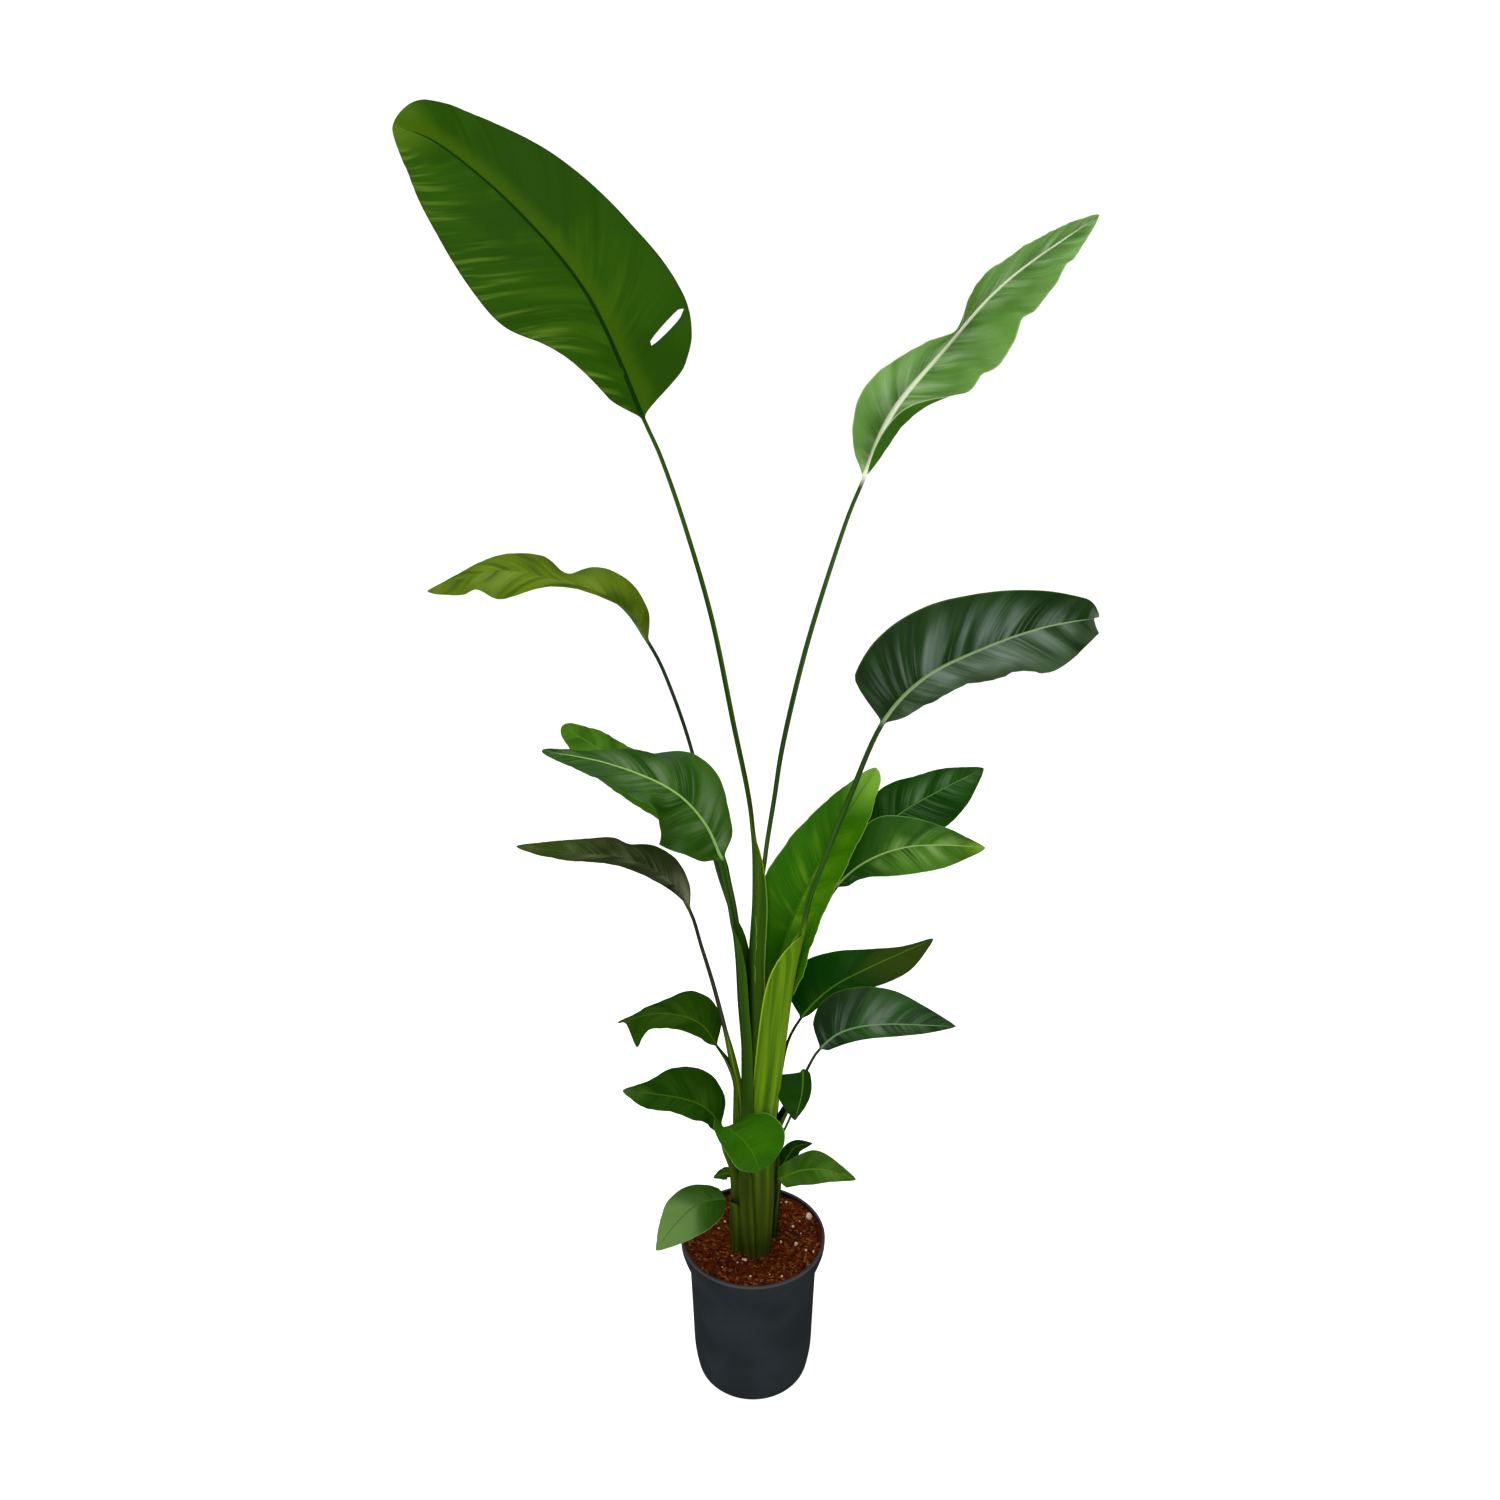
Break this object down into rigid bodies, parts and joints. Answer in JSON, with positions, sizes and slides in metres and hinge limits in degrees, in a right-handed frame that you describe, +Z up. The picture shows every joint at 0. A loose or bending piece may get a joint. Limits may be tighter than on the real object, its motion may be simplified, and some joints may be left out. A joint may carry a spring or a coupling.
{
  "type": "potted bird of paradise plant",
  "caption": "Potted giant bird of paradise: paddle-shaped leaves on long upright stalks fan out of nested sheaths that stand in the soil of a round plastic nursery pot.",
  "frame": {"origin": "Centre of the pot's flat underside, on the surface it stands on.", "axes": "+Z up along the pot's axis, X across the plane the leaves fan out in, with the tallest leaf on the -X side, and -Y towards the open front of the fan."},
  "size_m": [0.8556, 0.2349, 1.7498],
  "materials": {
    "pot": "matte",
    "soil": "matte",
    "leaf": "satin"
  },
  "bodies": {
    "root": {"pot": "pot", "soil": "soil", "leaf_tall_right": "leaf", "leaf_new_centre": "leaf", "leaf_tall_left": "leaf", "leaf_upper_right": "leaf", "leaf_mid_left_front": "leaf", "leaf_front_small": "leaf", "leaf_lower_left": "leaf", "leaf_low_left_upper": "leaf", "leaf_low_left_lower": "leaf", "leaf_base_left": "leaf", "leaf_base_left_back": "leaf", "leaf_mid_right_back": "leaf", "leaf_upper_left": "leaf", "leaf_mid_right_front": "leaf", "leaf_mid_left_back": "leaf", "leaf_low_right_upper": "leaf", "leaf_low_right_lower": "leaf", "leaf_low_right_hanging": "leaf", "leaf_base_right": "leaf", "leaf_base_right_back": "leaf"}
  },
  "joints": []
}
